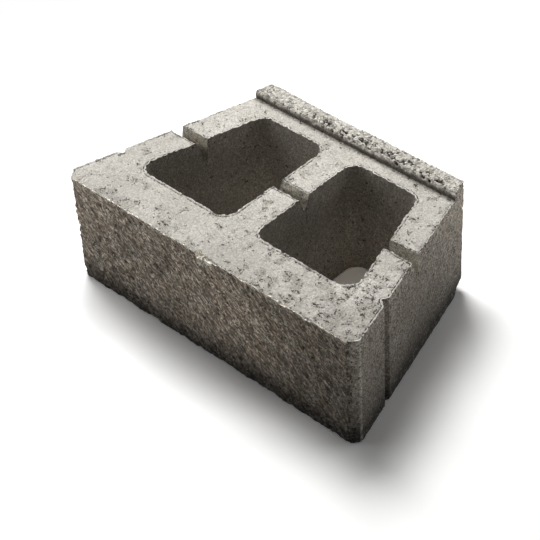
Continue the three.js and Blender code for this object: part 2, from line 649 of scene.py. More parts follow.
    def _slot(self, points: Points) -> Points:
        """Shapes the walls of the core bar's slot."""
        rough = 0.4 * MM * self.grit.layered(points, 6.0, 2)
        return 0.3 * MM + rough + self._bitten(points, 0.6 * MM)

    def _core(self, points: Points) -> Points:
        """Shapes the walls of the cores, bitten away in places under the upper edge."""
        lumpy = 0.4 * MM * self.lumps.layered(drawn_up(points, 0.35), 11, 2)
        return 0.3 * MM + lumpy + self._bitten(points, 1.7 * MM)

    def _underside(self, points: Points) -> Points:
        """Shapes the underside, which stands on its high spots."""
        return 0.15 * MM + 0.25 * MM * self.lumps.layered(points, 30, 2)

    def _fracture(self, points: Points) -> Points:
        """Shapes the broken corner."""
        return 0.9 * MM + 1.1 * MM * self.grit.layered(points, 7, 3)


# ---- The casting ----


@dataclass
class BlockBody:
    """The casting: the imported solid's surfaces, cut fine enough to carry real relief."""

    sizes: BlockSizes
    cells: CellSizes
    relief: Relief
    shell: bmesh.types.BMesh = field(default_factory=bmesh.new)
    rim_width: float = 1.45 * MM
    rim_rings: int = 3
    seam: float = 0.02 * MM
    touching: float = 0.1 * MM
    snap_share: float = 0.12
    weld_share: float = 0.4
    flat_angle: float = math.radians(1.0)
    sharp_angle: float = math.radians(32)
    spilled_drop: float = 0.7 * MM
    split_drop: float = 2.2 * MM
    facing: float = 0.9  # how squarely a face has to look along an axis
    refined_reach: float = 1.5
    pit_halvings: int = 2

    def build(self, node: bpy.types.Object) -> bpy.types.Object:
        """Builds the casting's mesh.

        Args:
            node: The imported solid, which is only read.

        Returns:
            The new object, with one face attribute naming each face's surface.
        """
        self._cage(node)
        self._name_patches()
        self._add_rims()
        self._slice_patches()
        self._refine_pits()
        self._spill()
        self._triangulate()
        self._mark_edges()
        self._relieve()
        mesh = bpy.data.meshes.new("cast_block")
        self.shell.to_mesh(mesh)
        self.shell.free()
        casting = bpy.data.objects.new("cast_block", mesh)
        bpy.context.scene.collection.objects.link(casting)
        log.info("casting: %d vertices, %d faces", len(mesh.vertices), len(mesh.polygons))
        return casting

    def _cage(self, node: bpy.types.Object) -> None:
        """Copies the solid and joins its triangles into whole flat faces.

        Args:
            node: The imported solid.
        """
        shell = self.shell
        shell.from_mesh(node.data)
        bmesh.ops.remove_doubles(shell, verts=shell.verts, dist=self.seam)
        bmesh.ops.dissolve_limit(
            shell, angle_limit=self.flat_angle, verts=shell.verts, edges=shell.edges
        )
        shell.normal_update()

    def _patch_of(self, face: bmesh.types.BMFace) -> Patch:
        """Tells which surface a flat face of the solid belongs to.

        Args:
            face: A face of the cage.

        Returns:
            Its surface.
        """
        s, eps = self.sizes, self.touching
        normal, centre = face.normal, face.calc_center_median()
        slot_from = s.front + s.slot_front
        in_slot = slot_from - eps < centre.y < slot_from + s.slot_width + eps
        if centre.z > s.top - eps:
            return Patch.LIP_TOP
        if normal.z > self.facing and centre.z > s.body_height - eps:
            return Patch.UPPER
        if in_slot and abs(normal.x) < 0.1 and centre.z > s.body_height - s.slot_depth - eps:
            return Patch.SLOT
        if centre.z < eps:
            return Patch.UNDERSIDE
        if normal.y > 0.999:
            return Patch.REAR
        if centre.z > s.body_height and normal.y < -self.facing:
            return Patch.LIP_FRONT
        if centre.y < s.front + eps:
            return Patch.SPLIT
        if normal.z < -0.05 and centre.y > s.rear - s.rear_shell:
            return Patch.FRACTURE
        if s.side_at(centre.y) - abs(centre.x) > s.side_wall / 2:
            return Patch.CORE
        if centre.y < s.front + s.bevel_depth + 2 * MM:
            return Patch.BEVEL
        return Patch.SIDE

    @property
    def _names(self) -> bmesh.types.BMLayerItem:
        """The face layer that holds each face's surface."""
        return self.shell.faces.layers.int["patch"]

    def _name_patches(self) -> None:
        """Writes each face's surface into its face layer."""
        layer = self.shell.faces.layers.int.new("patch")
        for face in self.shell.faces:
            face[layer] = self._patch_of(face)

    def _faces_of(self, patch: Patch) -> Faces:
        """Lists the faces of one surface."""
        names = self._names
        return [face for face in self.shell.faces if face[names] == patch]

    def _add_rims(self) -> None:
        """Adds narrow rings of faces along the upper edges, for the moulding fin."""
        shell = self.shell
        inside = shell.faces.layers.int.new("inside_rim")
        rim = shell.verts.layers.float.new("rim")
        names = self._names
        for patch in (Patch.UPPER, Patch.LIP_TOP):
            for face in self._faces_of(patch):
                face[inside] = 1
            for ring in range(self.rim_rings):
                inner = [face for face in shell.faces if face[inside]]
                made = bmesh.ops.inset_region(
                    shell,
                    faces=inner,
                    thickness=self.rim_width,
                    use_boundary=True,
                    use_even_offset=False,
                )
                for face in made["faces"]:
                    face[names] = patch
                    face[inside] = 0
                verts = each_once(vert for face in inner for vert in face.verts)
                for vert in verts:
                    vert[rim] = ring + 1
                bmesh.ops.remove_doubles(shell, verts=verts, dist=self.rim_width * self.weld_share)
            for face in shell.faces:
                face[inside] = 0

    def _top_faces(self, patch: Patch, in_rings: bool) -> Faces:
        """Lists the faces of one upper surface, either in its narrow rings or inside them.

        Args:
            patch: The upper face or the lip's top.
            in_rings: Which of the two to list.

        Returns:
            The faces.
        """
        rim = self.shell.verts.layers.float["rim"]
        last = self.rim_rings - 0.5
        return [
            face
            for face in self._faces_of(patch)
            if (min(vert[rim] for vert in face.verts) < last) == in_rings
        ]

    def _slice(self, faces: Faces, axis: Vector, step: float) -> None:
        """Cuts faces into strips by evenly spaced planes, from the lowest to the highest.

        Args:
            faces: The faces to cut.
            axis: Direction across the planes.
            step: Distance between planes.
        """
        if not faces:
            return
        spans = [vert.co.dot(axis) for face in faces for vert in face.verts]
        low, high = min(spans), max(spans)
        count = max(1, round((high - low) / step))
        width = (high - low) / count
        snap = width * self.snap_share
        for index in range(1, count):
            level = low + index * width
            edges = each_once(edge for face in faces for edge in face.edges)
            verts = each_once(vert for edge in edges for vert in edge.verts)
            cut = bmesh.ops.bisect_plane(
                self.shell,
                geom=[*faces, *edges, *verts],
                dist=snap,
                plane_co=axis * level,
                plane_no=axis,
            )
            faces = [
                item
                for item in cut["geom"]
                if isinstance(item, bmesh.types.BMFace)
                and max(vert.co.dot(axis) for vert in item.verts) > level + snap
            ]
            if not faces:
                break

    def _slice_runs(self, runs: Iterable[tuple[Patch, Vector, float]]) -> None:
        """Cuts whole surfaces one after another, each along an axis in steps of one length."""
        for patch, axis, step in runs:
            self._slice(self._faces_of(patch), axis, step)

    def _slice_patches(self) -> None:
        """Cuts every surface into cells of its own size.

        The longest runs of planes come first, while the shell still has few faces.
        """
        c = self.cells
        self._slice_runs(
            (
                (Patch.SPLIT, AXIS_X, c.split), (Patch.LIP_FRONT, AXIS_X, c.lip),
                (Patch.SLOT, AXIS_X, c.slot), (Patch.BEVEL, AXIS_Z, c.split),
                (Patch.SIDE, AXIS_Y, c.side), (Patch.REAR, AXIS_X, c.rear),
                (Patch.UNDERSIDE, AXIS_X, c.underside), (Patch.UNDERSIDE, AXIS_Y, c.underside),
            )
        )
        for patch, inside, ring in ((Patch.UPPER, c.upper, c.rim), (Patch.LIP_TOP, c.lip, c.lip)):
            for axis in (AXIS_X, AXIS_Y):
                self._slice(self._top_faces(patch, False), axis, inside)
                self._slice(self._top_faces(patch, True), axis, ring)
        # The cores' rounded corners are narrow enough already.
        core = self._faces_of(Patch.CORE)
        across = [face for face in core if abs(face.normal.y) > 0.95]
        along = [face for face in core if abs(face.normal.x) > self.facing]
        self._slice(across, AXIS_X, c.core)
        self._slice(along, AXIS_Y, c.core)
        self._slice_runs(
            (
                (Patch.CORE, AXIS_Z, c.core),
                *((Patch.FRACTURE, axis, c.slot) for axis in (AXIS_X, AXIS_Y, AXIS_Z)),
                (Patch.SLOT, AXIS_Y, c.slot), (Patch.SLOT, AXIS_Z, c.slot),
                (Patch.LIP_FRONT, AXIS_Z, c.lip), (Patch.BEVEL, AXIS_Y, c.split),
                (Patch.REAR, AXIS_Z, c.rear), (Patch.SIDE, AXIS_Z, c.side),
                (Patch.SPLIT, AXIS_Z, c.split),
            )
        )
        log.info("surfaces cut into %d faces", len(self.shell.faces))

    def _halve_near(self, patch: Patch, centre: Vector, reach: float) -> None:
        """Halves the cells of one surface that lie close to a place.

        Args:
            patch: The surface.
            centre: The place.
            reach: How far from it a cell's middle may lie.
        """
        faces = self._faces_of(patch)
        near = [face for face in faces if (face.calc_center_median() - centre).length < reach]
        edges = each_once(edge for face in near for edge in face.edges)
        if edges:
            bmesh.ops.subdivide_edges(self.shell, edges=edges, cuts=1, use_grid_fill=True)

    def _refine_pits(self) -> None:
        """Makes the cells around each pit and spall small enough to show its shape."""
        s = self.sizes
        for pit in self.relief.pits:
            height = s.top if pit.patch is Patch.LIP_TOP else s.body_height
            reach = pit.radius * MM * max(1.0, pit.stretch) * self.refined_reach
            for _ in range(self.pit_halvings):
                self._halve_near(pit.patch, Vector((pit.x * MM, pit.y * MM, height)), reach)
        for spall in self.relief.spalls:
            centre = Vector((spall.x * MM, s.front, s.body_height))
            self._halve_near(Patch.UPPER, centre, spall.half_width * MM * self.refined_reach)

    def _spill(self) -> None:
        """Lets the split's roughness run over its edges: onto the bevels and the upper face."""
        names = self._names
        reached = (Patch.BEVEL, Patch.UPPER, Patch.SPLIT)
        faces = [face for face in self.shell.faces if face[names] in reached]
        centres = np.array([face.calc_center_median()[:] for face in faces])
        ragged = self.relief.edges.layered(centres, 9, 3)
        behind = centres[:, 1] - self.sizes.front
        dropped = self.relief.spalled(centres)
        onto_bevel = behind < (4.0 + 9.0 * ragged) * MM
        onto_upper = behind < (1.6 + 4.0 * ragged) * MM
        for face, bevel, upper, drop in zip(faces, onto_bevel, onto_upper, dropped):
            if face[names] == Patch.BEVEL and bevel:
                face[names] = Patch.SPLIT
            elif face[names] == Patch.UPPER and (upper or drop > self.spilled_drop):
                face[names] = Patch.BRINK
            elif face[names] == Patch.SPLIT and drop > self.split_drop:
                face[names] = Patch.BRINK

    def _triangulate(self) -> None:
        """Splits every face with more than four corners."""
        shell = self.shell
        bmesh.ops.dissolve_degenerate(shell, edges=shell.edges, dist=self.seam)
        many = [face for face in shell.faces if len(face.verts) > 4]
        bmesh.ops.triangulate(shell, faces=many, ngon_method="BEAUTY")
        shell.normal_update()

    def _mark_edges(self) -> None:
        """Makes faces shade smooth, but keeps the edges at corners sharp, except the worn edge between
        the lip's top and front.
        """
        names = self._names
        for face in self.shell.faces:
            face.smooth = True
        for edge in self.shell.edges:
            sharp = edge.calc_face_angle() > self.sharp_angle
            beside = {face[names] for face in edge.link_faces}
            edge.smooth = not sharp or beside == {Patch.LIP_TOP, Patch.LIP_FRONT}

    def _relieve(self) -> None:
        """Moves every point into its relief, always inside the solid's own box."""
        shell, relief, names = self.shell, self.relief, self._names
        rim_layer = shell.verts.layers.float["rim"]
        shell.verts.ensure_lookup_table()
        shell.verts.index_update()
        points = np.array([vert.co[:] for vert in shell.verts])
        rim = np.array([vert[rim_layer] for vert in shell.verts])
        normals = np.zeros((len(Patch), len(points), 3))
        for face in shell.faces:
            pull = np.array(face.normal) * face.calc_area()
            for vert in face.verts:
                normals[face[names], vert.index] += pull
        shift = np.zeros_like(points)
        marks = {name: np.zeros(len(points)) for name in ("hollow", "fin", "torn", "recess_shade")}
        for patch in Patch:
            length = np.linalg.norm(normals[patch], axis=1)
            on_patch = length > 0
            if not on_patch.any():
                continue
            here = points[on_patch]
            unit = normals[patch][on_patch] / length[on_patch][:, None]
            depth = relief.depth(patch, here)
            shift[on_patch] -= unit * depth[:, None]
            found = {"torn": relief.torn(patch, here), "recess_shade": relief.recess_shade(patch, here)}
            if patch is not Patch.BRINK:
                found["hollow"] = (depth - relief.worn_round(patch, here)) / MM
            for name, values in found.items():
                marks[name][on_patch] = np.maximum(marks[name][on_patch], values)
            if patch in (Patch.UPPER, Patch.LIP_TOP):
                fin = relief.fin(patch, here, rim[on_patch])
                shift[on_patch, 2] += fin * relief.fin_height
                marks["fin"][on_patch] = fin
        self._drag_rings(rim, shift)
        shift[:, 2] -= relief.spalled(points)
        moved = points + shift
        moved[:, 2] = np.clip(moved[:, 2], 0.0, self.sizes.top)
        layers = {name: shell.verts.layers.float.new(name) for name in marks}
        for index, vert in enumerate(shell.verts):
            vert.co = moved[index]
            for name, layer in layers.items():
                vert[layer] = marks[name][index]
        shell.normal_update()

    def _drag_rings(self, rim: Points, shift: Points) -> None:
        """Lets the rings along an edge follow its bites, less and less towards the inside.

        Args:
            rim: How many rings each point is in from the edge.
            shift: How far each point moves; the rings' rows are changed.
        """
        follow = 1 - rim / self.rim_rings
        in_rings = np.flatnonzero((rim > 0) & (follow > 0.01))
        for index in in_rings[np.argsort(rim[in_rings])]:
            vert = self.shell.verts[index]
            beside = [edge.other_vert(vert).index for edge in vert.link_edges]
            outer = [other for other in beside if rim[other] < rim[index] - 0.01]
            if outer:
                pull = shift[outer, :2] * (follow[index] / follow[outer])[:, None]
                shift[index, :2] += pull.mean(axis=0)


# ---- Node building ----


@dataclass
class NodeSheet:
    """Adds and links nodes in one node tree."""

    tree: bpy.types.NodeTree

    def add(self, kind: str, given: Inputs | None = None, **settings: object) -> Node:
        """Adds a node.

        Args:
            kind: The node's type name.
            given: What its inputs get, by name or by number.
            settings: Properties to set on it.

        Returns:
            The node.
        """
        node = self.tree.nodes.new(kind)
        for name, value in settings.items():
            setattr(node, name, value)
        for name, value in (given or {}).items():
            self.feed(node.inputs[name], value)
        return node

    def feed(self, socket: Socket, value: Value) -> None:
        """Links a socket to another, or sets its plain value.

        Args:
            socket: The input.
            value: What it gets.
        """
        if isinstance(value, Socket):
            self.tree.links.new(value, socket)
        elif isinstance(value, tuple) and len(value) == 3 and socket.type == "RGBA":
            socket.default_value = (*value, 1.0)
        else:
            socket.default_value = value

    def math(self, operation: str, *values: Value) -> Socket:
        """Adds a Math node."""
        return self.add("ShaderNodeMath", dict(enumerate(values)), operation=operation).outputs[0]

    def times(self, first: Value, second: Value, *plus: Value) -> Socket:
        """Multiplies two numbers, and adds a third where one is given."""
        return self.math("MULTIPLY_ADD" if plus else "MULTIPLY", first, second, *plus)

    def vector_math(self, operation: str, *values: Value) -> Socket:
        """Adds a Vector Math node, and gives its vector, or its number where it measures."""
        node = self.add("ShaderNodeVectorMath", dict(enumerate(values)), operation=operation)
        return node.outputs["Value" if operation in ("LENGTH", "DISTANCE") else "Vector"]

    def scale(self, vector: Value, factor: Value) -> Socket:
        """Multiplies a vector or colour by a number."""
        given = {0: vector, "Scale": factor}
        return self.add("ShaderNodeVectorMath", given, operation="SCALE").outputs[0]

    def remap(
        self,
        value: Value,
        from_low: Value,
        from_high: Value,
        to_low: Value = 0.0,
        to_high: Value = 1.0,
        smooth: bool = True,
    ) -> Socket:
        """Maps one range onto another and keeps within it.

        Args:
            value: The input.
            from_low: Start of the input's range.
            from_high: End of the input's range.
            to_low: Result at the start.
            to_high: Result at the end.
            smooth: Whether the result eases in and out.

        Returns:
            The result.
        """
        names = ("Value", "From Min", "From Max", "To Min", "To Max")
        given = dict(zip(names, (value, from_low, from_high, to_low, to_high)))
        kind = "SMOOTHSTEP" if smooth else "LINEAR"
        return self.add("ShaderNodeMapRange", given, interpolation_type=kind).outputs["Result"]

    def blend(self, factor: Value, first: Value, second: Value) -> Socket:
        """Mixes two colours.

        Args:
            factor: How much of the second.
            first: First colour.
            second: Second colour.

        Returns:
            The mixed colour.
        """
        node = self.add("ShaderNodeMix", {"Factor": factor}, data_type="RGBA", blend_type="MIX")
        colors = [socket for socket in node.inputs if socket.type == "RGBA"]
        self.feed(colors[0], first)
        self.feed(colors[1], second)
        return next(socket for socket in node.outputs if socket.type == "RGBA")

    def stretch(self, vector: Value, scale: Triple = (1.0, 1.0, 1.0), turn: Triple = NO_TURN) -> Socket:
        """Turns a vector, then scales it.

        Args:
            vector: The vector.
            scale: Scale on each axis.
            turn: Angles in radians.

        Returns:
            The result.
        """
        given = {"Vector": vector, "Rotation": turn}
        turned = self.add("ShaderNodeVectorRotate", given, rotation_type="EULER_XYZ")
        return self.vector_math("MULTIPLY", turned.outputs["Vector"], scale)

    def noise(
        self, vector: Value, scale: Value, detail: float = 2.0, rough: float = 0.5, take: str = "Fac"
    ) -> Socket:
        """Adds a Noise texture with so many lumps per metre; its value is about 0.2 to 0.8."""
        given = {"Vector": vector, "Scale": scale, "Detail": detail, "Roughness": rough}
        return self.add("ShaderNodeTexNoise", given).outputs[take]

    def cells(self, vector: Value, scale: Value) -> tuple[Socket, Socket, Socket]:
        """Adds a Voronoi texture.

        Args:
            vector: Where it is sampled.
            scale: Cells per metre.

        Returns:
            Distance from the cell's seed, and two random numbers that belong to the cell.
        """
        cell = self.add("ShaderNodeTexVoronoi", {"Vector": vector, "Scale": scale}).outputs
        numbers = self.add("ShaderNodeSeparateColor", {"Color": cell["Color"]}).outputs
        return cell["Distance"], numbers[0], numbers[1]

    def axes(self, vector: Value) -> tuple[Socket, Socket, Socket]:
        """Splits a place into its X, Y and Z."""
        return tuple(self.add("ShaderNodeSeparateXYZ", {0: vector}).outputs)

    def seen(self) -> Socket:
        """Tells the rays that come from the eye from the light that bounces.

        Returns:
            1 for the camera's rays, also where they are mirrored or pass through.
        """
        path = self.add("ShaderNodeLightPath").outputs
        direct = self.math("MAXIMUM", path["Is Camera Ray"], path["Is Glossy Ray"])
        return self.math("MAXIMUM", direct, path["Is Transmission Ray"])


class EffectGroup(NodeSheet):
    """One shader node group, wired once and then placed in any material."""

    name = ""
    inputs: dict[str, float] = {}
    outputs: tuple[str, ...] = ("Mask",)

    def __init__(self) -> None:
        """Makes the group with its sockets, and wires it."""
        super().__init__(bpy.data.node_groups.new(self.name, "ShaderNodeTree"))
        new_socket = self.tree.interface.new_socket
        new_socket("Vector", in_out="INPUT", socket_type="NodeSocketVector")
        for name, value in self.inputs.items():
            new_socket(name, in_out="INPUT", socket_type="NodeSocketFloat").default_value = value
        for name in self.outputs:
            new_socket(name, in_out="OUTPUT", socket_type="NodeSocketFloat")
        self.given = self.add("NodeGroupInput").outputs
        self.vector = self.given["Vector"]
        self.made = self.add("NodeGroupOutput").inputs
        self.wire()

    def wire(self) -> None:
        """Wires the group's inputs to its outputs."""
        raise NotImplementedError

    def put(self, *values: Socket) -> None:
        """Feeds the group's outputs, in order."""
        for name, value in zip(self.outputs, values):
            self.feed(self.made[name], value)

    def place(self, sheet: NodeSheet, vector: Value, **values: Value) -> Outputs:
        """Places the group in a material.

        Args:
            sheet: The material's sheet.
            vector: What feeds its Vector input.
            values: Its other inputs, with underscores for spaces.

        Returns:
            Its outputs there.
        """
        others = {name.replace("_", " "): value for name, value in values.items()}
        given = {"Vector": vector, **others}
        return sheet.add("ShaderNodeGroup", given, node_tree=self.tree).outputs


class SandGrain(EffectGroup):
    """Sand and cement: single grains, lighter and darker, with fine tooth between them."""

    name = "Sand Grain"
    inputs = {"Scale": 900.0}
    outputs = ("Tone", "Fleck", "Height")

    def wire(self) -> None:
        """Gives every grain its own tone, lights up a few, and domes them all."""
        vector, scale = self.vector, self.given["Scale"]
        tooth = self.noise(vector, scale, 3.0, 0.65)
        gap, shade, pick = self.cells(vector, scale)
        tone = self.times(shade, 0.5, self.times(tooth, 0.5))
        fleck = self.times(self.remap(pick, 0.86, 0.9), self.remap(gap, 0.5, 0.2))
        self.put(tone, fleck, self.times(self.remap(gap, 0.7, 0.0), 0.45, tooth))


class AirPores(EffectGroup):
    """Pores: small torn hollows that come in clusters."""

    name = "Air Pores"
    inputs = {"Scale": 300.0, "Share": 0.25, "Cluster Scale": 30.0, "Clustering": 0.8}
    # The second output rings each pore, for a painted highlight round it.
    outputs = ("Mask", "Rim")

    def wire(self) -> None:
        """Tears the cells' outlines, and picks a share of them, more where they cluster."""
        vector, scale = self.vector, self.given["Scale"]
        tear = self.noise(vector, self.times(scale, 1.6), take="Color")
        offset = self.vector_math("SUBTRACT", tear, (0.5, 0.5, 0.5))
        offset = self.scale(offset, self.math("DIVIDE", 1.5, scale))
        gap, pick, size = self.cells(self.vector_math("ADD", vector, offset), scale)
        cluster = self.remap(self.noise(vector, self.given["Cluster Scale"]), 0.38, 0.62)
        crowd = self.math("SUBTRACT", self.times(cluster, 2.0), 1.0)
        crowd = self.times(self.given["Clustering"], crowd, 1.0)
        picked = self.math("LESS_THAN", pick, self.times(self.given["Share"], crowd))
        reach = self.times(size, 0.24, 0.16)
        inside = self.remap(gap, reach, self.times(reach, 0.75))
        around = self.remap(gap, self.times(reach, 1.5), reach)
        self.put(self.times(inside, picked), self.times(around, picked))


class DryCracks(EffectGroup):
    """Short thin cracks that wander and stand open only in places."""

    name = "Dry Cracks"
    inputs = {"Scale": 110.0}
    outputs = ("Mask", "Rim")

    def wire(self) -> None:
        """Draws thin lines where a noise crosses its middle, and breaks them with another."""
        vector, scale = self.vector, self.given["Scale"]
        off = self.math("ABSOLUTE", self.math("SUBTRACT", self.noise(vector, scale, 3.0, 0.6), 0.5))
        moved = self.stretch(vector, turn=(0.4, 1.2, 0.8))
        gaping = self.remap(self.noise(moved, self.times(scale, 1.4)), 0.54, 0.6)
        line, lining = self.remap(off, 0.065, 0.03), self.remap(off, 0.13, 0.08)
        self.put(self.times(line, gaping), self.times(lining, gaping))


class DragStreaks(EffectGroup):
    """Long thin marks, for faces dragged along the mould and for the ribs of a break."""

    name = "Drag Streaks"
    inputs = {"Scale": 400.0}
    outputs = ("Tone", "Height")

    def wire(self) -> None:
        """Lays fine marks over wide ones; the space they are placed in draws them out."""
        vector, scale = self.vector, self.given["Scale"]
        fine = self.noise(vector, self.times(scale, 1.5), 1.0)
        both = self.times(fine, 0.7, self.times(self.noise(vector, scale, 3.0, 0.6), 0.3))
        self.put(self.remap(both, 0.425, 0.575), both)


class SlotCrack(EffectGroup):
    """A hairline crack that runs straight down from a notch and fades out below it."""

    name = "Slot Crack"
    inputs = {"Place": 0.0, "From": 0.1, "To": 0.2, "Width": 0.7 * MM}

    def wire(self) -> None:
        """Draws a thin wandering line at one Y, between two heights."""
        given, vector = self.given, self.vector
        _, y, z = self.axes(vector)
        wander = self.math("SUBTRACT", self.noise(vector, 160.0), 0.5)
        off = self.times(wander, 8 * MM, self.math("SUBTRACT", y, given["Place"]))
        off = self.math("ABSOLUTE", off)
        line = self.remap(off, given["Width"], self.times(given["Width"], 0.4))
        self.put(self.times(line, self.remap(z, given["From"], given["To"])))


class WornCorner(EffectGroup):
    """A thin, broken, rubbed line along an upright corner on either side of the block."""

    name = "Worn Corner"
    inputs = {"Aside": 0.2, "Back": 0.0, "Width": 2.8 * MM}

    def wire(self) -> None:
        """Draws a wandering line round the corner's own upright, and breaks it."""
        given, vector = self.given, self.vector
        x, y, _ = self.axes(vector)
        across = self.math("SUBTRACT", self.math("ABSOLUTE", x), given["Aside"])
        wander = self.math("SUBTRACT", self.noise(vector, 140.0, 3.0), 0.5)
        behind = self.times(wander, 5 * MM, self.math("SUBTRACT", y, given["Back"]))
        off = self.math("SQRT", self.times(behind, behind, self.times(across, across)))
        line = self.remap(off, given["Width"], self.times(given["Width"], 0.3))
        broken = self.remap(self.noise(vector, 180.0, 3.0), 0.40, 0.60, 0.15, 1.0)
        self.put(self.times(line, broken))


class CementBloom(EffectGroup):
    """Wide soft patches where the concrete dried lighter, darker or a little warmer."""

    name = "Cement Bloom"
    inputs = {"Scale": 18.0}
    outputs = ("Patch", "Warm")

    def wire(self) -> None:
        """Takes the dark patches and the warm ones from two noises turned apart."""
        vector, scale = self.vector, self.given["Scale"]
        wide = self.noise(vector, scale, 4.0, 0.55)
        moved = self.stretch(vector, turn=(0.7, 1.1, 0.4))
        warm = self.noise(moved, self.times(scale, 2.3), 3.0, 0.6)
        self.put(self.remap(wide, 0.3, 0.7), self.remap(warm, 0.42, 0.72))


@dataclass(frozen=True)
class EffectLibrary:
    """The groups that all the finishes share."""

    grain: SandGrain = field(default_factory=SandGrain)
    pores: AirPores = field(default_factory=AirPores)
    cracks: DryCracks = field(default_factory=DryCracks)
    streaks: DragStreaks = field(default_factory=DragStreaks)
    bloom: CementBloom = field(default_factory=CementBloom)
    slot_crack: SlotCrack = field(default_factory=SlotCrack)
    corner: WornCorner = field(default_factory=WornCorner)


# ---- Finishes ----


class Grading(Enum):
    """Which way the drag marks of a finish run."""

    NONE = "none"
    UPRIGHT = "upright"
    SLANTING = "slanting"


@dataclass(frozen=True)
class LightAndShadePatch:
    """A soft round patch of painted light where its gain is above 1 and painted shade where it is
    below; metres.
    """

    place: Triple
    reach: float
    gain: float

    def factor(self, sheet: NodeSheet, where: Socket) -> Socket:
        """Gives what the colour is multiplied by: the gain in the middle, and 1 outside."""
        apart = sheet.vector_math("DISTANCE", where, self.place)
        return sheet.remap(apart, 0.0, self.reach, self.gain, 1.0)


@dataclass(frozen=True)
class ConcreteFinish:
    """One look of the same dry-cast concrete; scales are per metre, colours are linear."""

    name: str
    patches: tuple[Patch, ...]
    base: Triple
    dark: Triple
    light: Triple
    warm: Triple
    # Colour of pores, also laid on as painted shade in hollows and creases.
    pore_and_shade: Triple = (0.09, 0.077, 0.06)
    # Painted shade at the foot of the lip and deep in the slot, and how strongly it is laid on.
    recess_shade: Triple = (0.085, 0.072, 0.056)
    recess_shade_share: float = 0.95
    roughness: float = 0.92
    specular: float = 0.25
    grain_scale: float = 800.0
    grain_contrast: float = 0.5
    fleck_share: float = 0.35
    mottle_scale: float = 150.0
    mottle_share: float = 0.3
    pore_scale: float = 330.0
    pore_share: float = 0.16
    void_scale: float = 190.0
    void_share: float = 0.1
    crack_scale: float = 120.0
    crack_share: float = 0.3
    hole_share: float = 0.9
    # Painted highlight round pores and cracks.
    rim_highlight_share: float = 0.3
    torn_pores: float = 0.0
    torn_tint: float = 0.0
    cluster_scale: float = 30.0
    streaks: Grading = Grading.NONE
    streak_scale: float = 260.0
    streak_share: float = 0.0
    bloom_share: float = 0.35
    warm_share: float = 0.2
    # Painted shade in hollows, by their depth in millimetres.
    hollow_shade_from: float = 0.9
    hollow_shade_to: float = 3.2
    hollow_shade_share: float = 0.0
    # Painted shade in the crease behind the mould's fin.
    crease_shade_share: float = 0.0
    # Paler crumbs under the upper edge, made paler still as a painted highlight.
    brink_highlight_share: float = 0.0
    # Painted shade, darker towards the foot: its strength, its reach up the face and its curve.
    foot_shade_share: float = 0.0
    foot_shade_reach: float = 130 * MM
    foot_shade_curve: float = 1.65
    # Painted shade where the block meets the floor.
    contact_shade_share: float = 0.48
    # Painted light: how much lighter the upper part of the upright faces is.
    top_light_gain: float = 1.0
    light_and_shade_patches: tuple[LightAndShadePatch, ...] = ()
    slot_cracks: bool = False
    corner_share: float = 0.0
    grain_height: float = 0.35
    torn_height: float = 0.0
    mottle_height: float = 0.5
    streak_height: float = 0.5
    pore_height: float = 0.8


